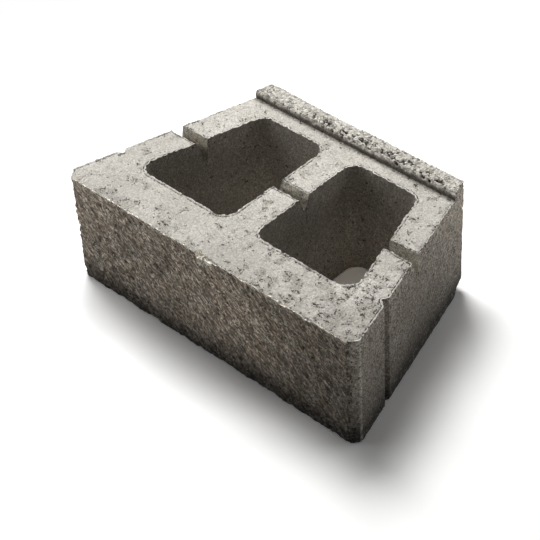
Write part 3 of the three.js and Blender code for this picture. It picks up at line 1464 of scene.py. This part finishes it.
class ConcreteMix(NodeSheet):
    """The nodes of one concrete material, whose colour and height are built up step by step."""

    split_turn: Triple = (0.0, -STREAK_SLOPE, 0.0)
    split_grain: Triple = (0.6, 1.0, 1.0)
    split_ribs: Triple = (0.24, 1.0, 1.0)
    upright_marks: Triple = (1.0, 1.0, 0.75)
    bend_scale: float = 45.0
    bend: float = 9 * MM
    void_turn: Triple = (0.9, 0.5, 1.3)
    bead_scale: float = 330.0
    # Painted highlight on the mould's fin.
    ridge_highlight_share: float = 0.8
    # How the painted shade at the foot varies from place to place.
    foot_shade_even: float = 0.95
    foot_shade_patchy: float = 0.04
    # Heights over which the painted shade at the floor fades out.
    contact_shade_from: float = 9 * MM
    contact_shade_to: float = 32 * MM
    crack_color: Triple = (0.02, 0.017, 0.013)
    slot_crack_share: float = 0.85
    crack_y: float = 12 * MM
    crack_from: float = 106 * MM
    crack_to: float = 119 * MM
    corner_x: float = 218.6 * MM
    corner_y: float = -123.6 * MM

    def __init__(self, finish: ConcreteFinish, effects: EffectLibrary) -> None:
        """Makes the material, and places what several of its layers use.

        Args:
            finish: The look to mix.
            effects: The shared node groups.
        """
        self.material = bpy.data.materials.new(finish.name)
        self.material.use_nodes = True
        super().__init__(self.material.node_tree)
        self.finish, self.effects = finish, effects
        self.where = self.add("ShaderNodeTexCoord").outputs["Object"]
        self.torn = self._mark("torn")
        on_break = finish.streaks is Grading.SLANTING
        space = self.stretch(self.where, self.split_grain, self.split_turn) if on_break else self.where
        self.grain = effects.grain.place(self, space, Scale=finish.grain_scale)
        self.mottle = effects.bloom.place(self, self.where, Scale=finish.mottle_scale)
        self.bloom = effects.bloom.place(self, self.where)
        self.color: Value = finish.base
        self.height: Value = 0.0

    def mix(self) -> bpy.types.Material:
        """Lays one layer over the other, and feeds the shader.

        Returns:
            The finished material.
        """
        self._cement()
        self._streaks()
        self._marks()
        self._levels()
        self._places()
        self._holes()
        shader = next(node for node in self.tree.nodes if node.type == "BSDF_PRINCIPLED").inputs
        bump = self.add("ShaderNodeBump", {"Strength": 1.0, "Distance": MM, "Height": self.height})
        self.feed(shader["Base Color"], self.color)
        self.feed(shader["Normal"], bump.outputs["Normal"])
        shader["Roughness"].default_value = self.finish.roughness
        shader["Specular IOR Level"].default_value = self.finish.specular
        return self.material

    def _mark(self, name: str) -> Socket:
        """Reads one of the casting's own marks."""
        return self.add("ShaderNodeAttribute", attribute_name=name).outputs["Fac"]

    def _tint(self, share: Value, color: Triple) -> None:
        """Blends some of another colour into the colour so far."""
        self.color = self.blend(share, self.color, color)

    def _gain(self, factor: Value) -> None:
        """Makes the colour so far lighter or darker."""
        self.color = self.scale(self.color, factor)

    def _cement(self) -> None:
        """Mixes the concrete itself: damp and warm patches, small dents and grains of sand."""
        f = self.finish
        self._tint(self.times(self.bloom["Patch"], f.bloom_share), f.dark)
        self._tint(self.times(self.mottle["Patch"], f.mottle_share), f.dark)
        self._tint(self.times(self.bloom["Warm"], f.warm_share), f.warm)
        self._tint(self.times(self.torn, f.torn_tint), f.warm)
        low, high = 1.0 - f.grain_contrast, 1.0 + f.grain_contrast
        self._gain(self.remap(self.grain["Tone"], 0.25, 0.75, low, high, smooth=False))
        self._tint(self.times(self.grain["Fleck"], f.fleck_share), f.light)
        height = self.times(self.grain["Height"], self.times(self.torn, f.torn_height, f.grain_height))
        self.height = self.times(self.mottle["Patch"], -f.mottle_height, height)

    def _streaks(self) -> None:
        """Draws dark marks upright down the struck faces, and slanting and bent over the split."""
        f = self.finish
        if f.streaks is Grading.NONE:
            return
        if f.streaks is Grading.UPRIGHT:
            space = self.stretch(self.where, self.upright_marks)
        else:
            bend = self.scale(self.noise(self.where, self.bend_scale, take="Color"), self.bend)
            space = self.vector_math("ADD", self.where, bend)
            space = self.stretch(space, self.split_ribs, self.split_turn)
        marks = self.effects.streaks.place(self, space, Scale=f.streak_scale)
        self._tint(self.times(marks["Tone"], f.streak_share), f.dark)
        self.height = self.times(marks["Height"], -2 * f.streak_height, self.height)

    def _marks(self) -> None:
        """Paints shade into hollows, at the lip's foot, deep in the slot and in the crease behind the
        mould's fin; paints a highlight on the fin.
        """
        f = self.finish
        hollow = self._mark("hollow")
        # Painted shade in hollows, deeper ones darker.
        self._tint(self.remap(hollow, f.hollow_shade_from, f.hollow_shade_to, 0.0, f.hollow_shade_share), f.pore_and_shade)
        # Painted shade at the lip's foot and deep in the slot.
        self._tint(self.times(self._mark("recess_shade"), f.recess_shade_share), f.recess_shade)
        if f.crease_shade_share > 0:
            fin = self._mark("fin")
            beads = self.noise(self.where, self.bead_scale, 1.0)
            # Painted shade in the crease behind the fin, broken into beads.
            crease = self.remap(fin, -0.02, -0.2, 0.0, f.crease_shade_share)
            self._tint(self.times(crease, self.remap(beads, 0.44, 0.55, 0.12, 1.0)), f.pore_and_shade)
            # Painted highlight on the fin.
            ridge_highlight = self.remap(fin, 0.25, 0.7, 0.0, self.ridge_highlight_share)
            self._tint(self.times(ridge_highlight, self.remap(beads, 0.58, 0.47, 0.15, 1.0)), f.light)

    def _levels(self) -> None:
        """Paints shade darker towards the foot and where the block meets the floor, light on the upper
        part of upright faces, and a highlight on the crumbs just under the upper edge.
        """
        f, edge = self.finish, BlockSizes.body_height
        _, _, z = self.axes(self.where)
        # Painted shade: darker towards the foot, a little unevenly.
        if f.foot_shade_share > 0:
            uneven = self.times(self.bloom["Patch"], self.foot_shade_patchy, self.foot_shade_even)
            low = self.remap(z, 0.0, f.foot_shade_reach, 1.0, 0.0, smooth=False)
            foot = self.times(self.math("POWER", low, f.foot_shade_curve), f.foot_shade_share)
            self._gain(self.math("SUBTRACT", 1.0, self.times(foot, uneven)))
            # Painted shade, darker still just above the floor.
            self._gain(self.remap(z, self.contact_shade_from, self.contact_shade_to, f.contact_shade_share, 1.0))
        # Painted light: the upper part of the upright face lighter.
        if f.top_light_gain > 1.0:
            self._gain(self.remap(z, edge - 32 * MM, edge - 6 * MM, 1.0, f.top_light_gain))
        # Paler crumbs with a painted highlight just under the upper edge of the split.
        if f.brink_highlight_share > 0:
            near = self.remap(z, edge - 5 * MM, edge - 0.5 * MM, 0.0, f.brink_highlight_share)
            self._tint(self.times(near, self.remap(self.grain["Tone"], 0.35, 0.55)), f.light)

    def _places(self) -> None:
        """Adds the patches of painted light and shade, the hairline cracks under the slot and the
        rubbed front corners.
        """
        f, effects = self.finish, self.effects
        # Painted light and shade in soft round patches.
        for shading_patch in f.light_and_shade_patches:
            self._gain(shading_patch.factor(self, self.where))
        if f.slot_cracks:
            span = {"From": self.crack_from, "To": self.crack_to}
            crack = effects.slot_crack.place(self, self.where, Place=self.crack_y, **span)
            self._tint(self.times(crack["Mask"], self.slot_crack_share), self.crack_color)
        if f.corner_share > 0:
            corner = effects.corner.place(self, self.where, Aside=self.corner_x, Back=self.corner_y)
            self._tint(self.times(corner["Mask"], f.corner_share), f.light)

    def _holes(self) -> None:
        """Opens small pores, larger torn ones and cracks, with more of each in torn crust, and paints a
        highlight round their rims.
        """
        f, effects = self.finish, self.effects
        more = self.times(self.torn, f.torn_pores, 1.0)
        turned = self.stretch(self.where, turn=self.void_turn)
        pores, voids = (
            effects.pores.place(
                self, space, Scale=scale, Share=self.times(more, share), Cluster_Scale=f.cluster_scale
            )
            for space, scale, share in (
                (self.where, f.pore_scale, f.pore_share),
                (turned, f.void_scale, f.void_share),
            )
        )
        cracks = effects.cracks.place(self, turned, Scale=f.crack_scale)
        cracked = self.math("MINIMUM", self.times(more, f.crack_share), 1.0)
        holes = self.math("MAXIMUM", pores["Mask"], voids["Mask"])
        holes = self.math("MAXIMUM", holes, self.times(cracks["Mask"], cracked))
        rim = self.math("MAXIMUM", pores["Rim"], self.times(cracks["Rim"], cracked))
        # Painted highlight round pores and cracks.
        self._tint(self.times(rim, f.rim_highlight_share), f.light)
        self._tint(self.times(holes, f.hole_share), f.pore_and_shade)
        self.height = self.times(holes, -f.pore_height, self.height)


@dataclass(frozen=True)
class Finishes:
    """The block's finishes."""

    tamped: ConcreteFinish = ConcreteFinish(
        name="tamped_concrete", patches=(Patch.UPPER,),
        base=(0.60, 0.575, 0.525), dark=(0.41, 0.38, 0.33), light=(0.84, 0.82, 0.77),
        warm=(0.50, 0.45, 0.375), pore_and_shade=(0.05, 0.042, 0.032), grain_contrast=0.25, mottle_share=0.16,
        pore_share=0.07, void_scale=300.0, void_share=0.04, crack_scale=150.0, crack_share=0.25,
        rim_highlight_share=0.5, torn_pores=6.0, torn_tint=0.32, warm_share=0.12, hollow_shade_from=1.5,
        hollow_shade_to=3.0, hollow_shade_share=0.8, crease_shade_share=1.0, mottle_height=0.3, torn_height=1.2,
        # Painted light and shade on the upper face: lighter towards the rear and the middle, darker
        # along the front, with one light patch towards the front right.
        light_and_shade_patches=(
            LightAndShadePatch((0.0, 0.10, 0.15), 0.16, 1.12),
            LightAndShadePatch((-0.15, 0.07, 0.15), 0.09, 1.17),
            LightAndShadePatch((0.162, -0.06, 0.15), 0.045, 1.28),
            LightAndShadePatch((0.19, -0.105, 0.15), 0.06, 0.93),
            LightAndShadePatch((0.0, 0.0, 0.15), 0.06, 1.08),
            LightAndShadePatch((-0.16, -0.115, 0.15), 0.06, 0.87),
            LightAndShadePatch((0.02, -0.12, 0.15), 0.06, 0.88),
        ),
    )
    crumbly: ConcreteFinish = ConcreteFinish(
        name="crumbly_concrete", patches=(Patch.LIP_TOP, Patch.LIP_FRONT),
        base=(0.72, 0.69, 0.625), dark=(0.36, 0.325, 0.27), light=(0.92, 0.89, 0.83),
        warm=(0.58, 0.52, 0.43), pore_and_shade=(0.045, 0.037, 0.028), grain_scale=480.0, grain_contrast=0.36,
        mottle_share=0.12, bloom_share=0.2, pore_scale=340.0, pore_share=0.2, void_scale=230.0,
        void_share=0.08, crack_scale=150.0, crack_share=0.6, hollow_shade_from=2.0, hollow_shade_to=2.8,
        hollow_shade_share=0.95, crease_shade_share=0.7, grain_height=1.5, pore_height=1.6,
    )
    # Pale fresh crumbs along the split's upper edge and on spalled ledges, made paler as a painted
    # highlight.
    brink: ConcreteFinish = ConcreteFinish(
        name="crumbled_edge_highlight_concrete", patches=(Patch.BRINK,),
        base=(0.90, 0.86, 0.77), dark=(0.48, 0.42, 0.34), light=(0.97, 0.95, 0.89),
        warm=(0.74, 0.62, 0.47), grain_scale=500.0, fleck_share=0.8, pore_scale=240.0,
        pore_share=0.3, void_share=0.2, warm_share=0.5, grain_height=0.7, pore_height=1.0,
    )
    struck: ConcreteFinish = ConcreteFinish(
        name="mould_struck_concrete", patches=(Patch.SIDE, Patch.REAR),
        base=(0.62, 0.57, 0.505), dark=(0.22, 0.19, 0.157), light=(0.76, 0.73, 0.67),
        warm=(0.46, 0.39, 0.31), pore_and_shade=(0.05, 0.042, 0.033), hollow_shade_from=0.8, hollow_shade_to=1.4,
        hollow_shade_share=0.6, pore_share=0.32, void_share=0.3, crack_share=0.7, streaks=Grading.UPRIGHT,
        streak_scale=330.0, streak_share=0.78, foot_shade_share=0.95, top_light_gain=1.25, streak_height=1.0,
        corner_share=0.55,
        # Painted light: the right side lighter towards its rear.
        light_and_shade_patches=(
            LightAndShadePatch((0.15, 0.136, 0.12), 0.12, 1.4),
            LightAndShadePatch((0.148, 0.128, 0.045), 0.055, 1.35),
        ),
    )
    rubbed: ConcreteFinish = ConcreteFinish(
        name="rubbed_corner_concrete", patches=(Patch.BEVEL,),
        base=(0.80, 0.755, 0.685), dark=(0.36, 0.32, 0.27), light=(0.88, 0.85, 0.79),
        warm=(0.56, 0.47, 0.37), pore_and_shade=(0.05, 0.042, 0.033), pore_share=0.36, void_share=0.3,
        crack_share=0.7, streaks=Grading.UPRIGHT, streak_scale=330.0, streak_share=0.6,
        foot_shade_share=0.95, top_light_gain=1.25, corner_share=0.55,
    )
    plain: ConcreteFinish = ConcreteFinish(
        name="plain_concrete", patches=(Patch.SLOT, Patch.UNDERSIDE),
        base=(0.62, 0.585, 0.51), dark=(0.30, 0.27, 0.22), light=(0.78, 0.75, 0.69),
        warm=(0.46, 0.40, 0.32), grain_contrast=0.4, pore_share=0.3, void_share=0.22,
        crack_share=0.5,
    )
    split: ConcreteFinish = ConcreteFinish(
        name="split_concrete", patches=(Patch.SPLIT, Patch.FRACTURE),
        base=(0.77, 0.695, 0.59), dark=(0.20, 0.163, 0.127), light=(0.89, 0.845, 0.775),
        warm=(0.54, 0.41, 0.30), pore_and_shade=(0.07, 0.053, 0.04), grain_scale=600.0, grain_contrast=0.85,
        fleck_share=0.75, mottle_scale=120.0, mottle_share=0.36, pore_scale=300.0, pore_share=0.38,
        void_share=0.2, bloom_share=0.38, warm_share=0.5, streaks=Grading.SLANTING,
        streak_scale=325.0, streak_share=0.9, hollow_shade_from=2.2, hollow_shade_to=4.8, hollow_shade_share=0.8,
        brink_highlight_share=0.8, foot_shade_share=0.95, foot_shade_curve=3.4, grain_height=0.8, streak_height=1.1,
        # Painted light and shade on the split: lighter in the middle, darker towards the right end and
        # in one spot on the left.
        light_and_shade_patches=(
            LightAndShadePatch((0.03, -0.136, 0.085), 0.10, 1.3),
            LightAndShadePatch((0.21, -0.136, 0.06), 0.15, 0.5),
            LightAndShadePatch((-0.115, -0.136, 0.10), 0.04, 0.64),
        ),
    )
    cored: ConcreteFinish = ConcreteFinish(
        name="core_wall_concrete", patches=(Patch.CORE,),
        base=(0.50, 0.465, 0.41), dark=(0.25, 0.225, 0.19), light=(0.60, 0.57, 0.51),
        warm=(0.40, 0.33, 0.26), grain_contrast=0.45, pore_share=0.24, streaks=Grading.UPRIGHT,
        streak_scale=300.0, streak_share=0.5, grain_height=0.6, slot_cracks=True,
        # Painted shade and light in the cores: walls darker near the top, lighter low down at the rear.
        light_and_shade_patches=(
            LightAndShadePatch((-0.15, -0.05, 0.13), 0.09, 0.7),
            LightAndShadePatch((0.03, -0.05, 0.13), 0.09, 0.7),
            LightAndShadePatch((-0.15, 0.01, 0.11), 0.06, 0.75),
            LightAndShadePatch((0.02, 0.01, 0.11), 0.06, 0.65),
            LightAndShadePatch((-0.13, 0.085, 0.02), 0.09, 1.35),
            LightAndShadePatch((0.04, 0.085, 0.02), 0.10, 1.5),
        ),
    )

    def dress(self, casting: bpy.types.Object, patches: list[Patch], effects: EffectLibrary) -> None:
        """Gives every face of the casting its finish.

        Args:
            casting: The casting.
            patches: The surface that each face belongs to.
            effects: The shared node groups.
        """
        order = [getattr(self, item.name) for item in fields(self)]
        for finish in order:
            casting.data.materials.append(ConcreteMix(finish, effects).mix())
        slots = {patch: index for index, finish in enumerate(order) for patch in finish.patches}
        casting.data.polygons.foreach_set("material_index", [slots[patch] for patch in patches])
        casting.data.update()
        log.info("finishes: %s", ", ".join(finish.name for finish in order))


# ---- The block ----


@dataclass(frozen=True)
class RetainingBlock:
    """The whole object: one casting with its finishes, riding where the solid is.

    The rows of its pits, chips and spalls are in millimetres.
    """

    sizes: BlockSizes = BlockSizes()
    cells: CellSizes = CellSizes()
    finishes: Finishes = Finishes()
    # Each row of a pit is its x, y, radius and depth, then stretch and turn where it isn't round.
    upper_pits: Rows = (
        (-197, -70, 2.8, 2.2), (-171, -63, 2.0, 1.6), (-127, -96, 1.8, 1.2), (17, 33, 1.8, 1.2),
        (8, -26, 1.7, 1.1, 2.2, 0.6), (100, -131, 2.0, 1.3), (133, -97, 1.5, 1.3, 2.6, -0.7),
        (146, -112, 1.7, 1.4, 1.8, 0.4), (157, -111, 1.8, 1.4), (168, -84, 1.7, 1.4, 2.4, -0.4),
        (158, -76, 1.6, 1.2), (190, -91, 1.6, 1.2), (189, -43, 1.7, 1.2),
        (171, -5, 1.9, 1.5, 1.6, 0.9), (150, 36, 1.9, 1.5), (166, 60, 1.4, 1.5, 4.0, 1.2),
        (153, 85, 2.1, 1.6), (119, 66, 1.7, 1.1),
    )
    lip_pits: Rows = (
        (60, 113, 2.6, 2.0), (75, 117, 2.0, 1.7),
        (106, 123, 1.8, 2.0, 3.2, 0.25), (122, 118, 1.5, 1.5, 3.0, -0.4),
    )
    # Each row of a chip is its x, y, z, radius and depth.
    chips: Rows = ((190.5, -20, 150, 4.5, 2.2), (187, -8, 150, 4, 2.0), (-203, -64, 150, 4, 1.2))
    # Each row of a spall is its x, half width, reach back and drop.
    spalls: Rows = (
        (-113, 4.0, 3.0, 2.2), (-58, 5.0, 2.5, 1.8), (-2, 6.5, 6.0, 6.0), (10, 7.5, 4.0, 3.5),
        (21, 5.0, 2.8, 2.0), (62, 5.0, 2.2, 1.2), (121, 5.0, 3.0, 2.0), (155, 6.0, 3.2, 2.2),
    )

    def build(self) -> bpy.types.Object:
        """Builds the casting over its solid and dresses it.

        Returns:
            The casting.
        """
        hollows = ((Patch.UPPER, self.upper_pits), (Patch.LIP_TOP, self.lip_pits))
        relief = Relief(
            self.sizes,
            tuple(Pit(patch, *row) for patch, rows in hollows for row in rows),
            tuple(Chip(*row) for row in self.chips),
            tuple(Spall(*row) for row in self.spalls),
        )
        casting = BlockBody(self.sizes, self.cells, relief).build(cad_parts["block"])
        patches = [Patch(item.value) for item in casting.data.attributes["patch"].data]
        self.finishes.dress(casting, patches, EffectLibrary())
        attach(casting, "root")
        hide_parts("block")
        return casting


# ---- Studio ----


@dataclass(frozen=True)
class SoftLamp:
    """A square softbox that faces the block; metres and watts."""

    name: str
    place: Triple
    size: float
    power: float
    aim: Triple = (0.0, 0.0, 0.1)

    def hang(self) -> None:
        """Adds the lamp, hidden from the camera."""
        lamp = bpy.data.lights.new(self.name, "AREA")
        lamp.shape = "SQUARE"
        lamp.size = self.size
        lamp.energy = self.power
        holder = bpy.data.objects.new(self.name, lamp)
        holder.location = self.place
        towards = Vector(self.aim) - holder.location
        holder.rotation_euler = towards.to_track_quat("-Z", "Y").to_euler()
        holder.visible_camera = False
        bpy.context.scene.collection.objects.link(holder)


@dataclass(frozen=True)
class Floor:
    """A pale floor that keeps the block's shadow, darkened near the block by painted shadow and
    lightened under it by painted light, and fades to plain white further out; metres.
    """

    size: float = 12.0
    seen: Triple = (1.24, 1.24, 1.23)
    bounce: Triple = (0.45, 0.44, 0.42)
    # Painted shadow on the floor near the block.
    near_shadow_gain: float = 0.78
    near_shadow_from: float = 0.15
    near_shadow_to: float = 0.22
    # Painted light on the floor under the block.
    under_light_gain: float = 2.6
    under_light_from: float = 0.160
    under_light_to: float = 0.168
    side_slope: float = 0.28  # how much each of the footprint's sides comes in with Y
    depth_share: float = 1.4  # the footprint's half width against its half depth
    white_from: float = 0.42
    white_to: float = 0.75

    def lay(self) -> None:
        """Lays the floor."""
        half = self.size / 2
        mesh = bpy.data.meshes.new("studio_floor")
        corners = [(-half, -half, 0), (half, -half, 0), (half, half, 0), (-half, half, 0)]
        mesh.from_pydata(corners, [], [(0, 1, 2, 3)])
        floor = bpy.data.objects.new("studio_floor", mesh)
        bpy.context.scene.collection.objects.link(floor)
        mesh.materials.append(self._paper())

    def _under_light(self, sheet: NodeSheet, where: Socket) -> Socket:
        """Paints light on the floor under the block, which its own shadow would leave black.

        Args:
            sheet: The material's sheet.
            where: Place on the floor.

        Returns:
            What the colour is multiplied by.
        """
        x, y, _ = sheet.axes(where)
        aside = sheet.times(y, self.side_slope, sheet.math("ABSOLUTE", x))
        outside = sheet.times(sheet.math("ABSOLUTE", y), self.depth_share)
        outside = sheet.math("MAXIMUM", aside, outside)
        return sheet.remap(outside, self.under_light_from, self.under_light_to, self.under_light_gain, 1.0)

    def _paper(self) -> bpy.types.Material:
        """Makes the floor's material: paper that is seen lighter than it throws light back.

        Returns:
            The material.
        """
        material = bpy.data.materials.new("studio_floor")
        material.use_nodes = True
        sheet = NodeSheet(material.node_tree)
        sheet.tree.nodes.clear()
        seen = sheet.seen()
        where = sheet.add("ShaderNodeTexCoord").outputs["Object"]
        reach = sheet.vector_math("LENGTH", where)
        # Painted shadow: the floor darker near the block.
        near = sheet.remap(reach, self.near_shadow_from, self.near_shadow_to, self.near_shadow_gain, 1.0)
        gain = sheet.times(near, self._under_light(sheet, where))
        color = sheet.blend(seen, self.bounce, sheet.scale(self.seen, gain))
        paper = sheet.add("ShaderNodeBsdfDiffuse", {"Color": color}).outputs[0]
        white = sheet.add("ShaderNodeEmission", {"Color": (1.0, 1.0, 1.0)}).outputs[0]
        share = sheet.times(sheet.remap(reach, self.white_from, self.white_to), seen)
        both = sheet.add("ShaderNodeMixShader", {"Fac": share, 1: paper, 2: white})
        sheet.add("ShaderNodeOutputMaterial", {"Surface": both.outputs[0]})
        return material


@dataclass(frozen=True)
class Camera:
    """The camera, placed round its target; metres, radians and millimetres of lens."""

    target: Triple = (0.0391, -0.0691, 0.1059)
    azimuth: float = math.radians(45.76)
    elevation: float = math.radians(41.46)
    roll: float = math.radians(-3.70)
    distance: float = 1.9067
    lens: float = 115.36
    sensor: float = 36.0
    clip: tuple[float, float] = (0.05, 60.0)

    def place(self) -> None:
        """Places the camera, with the slight roll it was held at."""
        lens = bpy.data.cameras.new("camera")
        lens.lens = self.lens
        lens.sensor_width = self.sensor
        lens.clip_start, lens.clip_end = self.clip
        holder = bpy.data.objects.new("camera", lens)
        across, rise = math.cos(self.elevation), math.sin(self.elevation)
        away = Vector((math.sin(self.azimuth) * across, -math.cos(self.azimuth) * across, rise))
        stand = Matrix.Translation(Vector(self.target) + away * self.distance)
        upright = (-away).to_track_quat("-Z", "Y").to_matrix().to_4x4()
        holder.matrix_world = stand @ upright @ Matrix.Rotation(self.roll, 4, "Z")
        bpy.context.scene.collection.objects.link(holder)
        bpy.context.scene.camera = holder


@dataclass(frozen=True)
class Studio:
    """A pale floor, soft light from behind on the left, and the camera."""

    floor: Floor = Floor()
    camera: Camera = Camera()
    sky_strength: float = 0.05
    lamps: tuple[SoftLamp, ...] = (
        SoftLamp("key_light", (-0.94, 0.49, 2.28), 1.15, 63.0),
        SoftLamp("left_fill", (-0.62, -0.55, 0.38), 0.6, 1.8),
        SoftLamp("right_fill", (0.55, 0.55, 0.40), 0.6, 1.1),
    )

    def build(self) -> None:
        """Sets up the floor, the light and the camera."""
        self.floor.lay()
        for lamp in self.lamps:
            lamp.hang()
        self._sky()
        self.camera.place()
        bpy.context.scene.view_settings.view_transform = "Standard"
        log.info("studio: floor, %d lamps, sky and camera are in place", len(self.lamps))

    def _sky(self) -> None:
        """Adds a sky that is seen white but lights the block only weakly."""
        world = bpy.data.worlds.new("studio_sky")
        world.use_nodes = True
        sheet = NodeSheet(world.node_tree)
        back = next(node for node in sheet.tree.nodes if node.type == "BACKGROUND")
        strength = sheet.remap(sheet.seen(), 0.0, 1.0, self.sky_strength, 1.0, smooth=False)
        sheet.feed(back.inputs["Color"], (1.0, 1.0, 1.0))
        sheet.feed(back.inputs["Strength"], strength)
        bpy.context.scene.world = world


def main() -> None:
    """Builds the studio and the block, and reports each piece."""
    logging.basicConfig(level=logging.INFO, format="%(name)s: %(message)s")
    Studio().build()
    casting = RetainingBlock().build()
    triangles = sum(len(face.vertices) - 2 for face in casting.data.polygons)
    log.info("%s: %d triangles", casting.name, triangles)


if __name__ == "__main__":
    main()
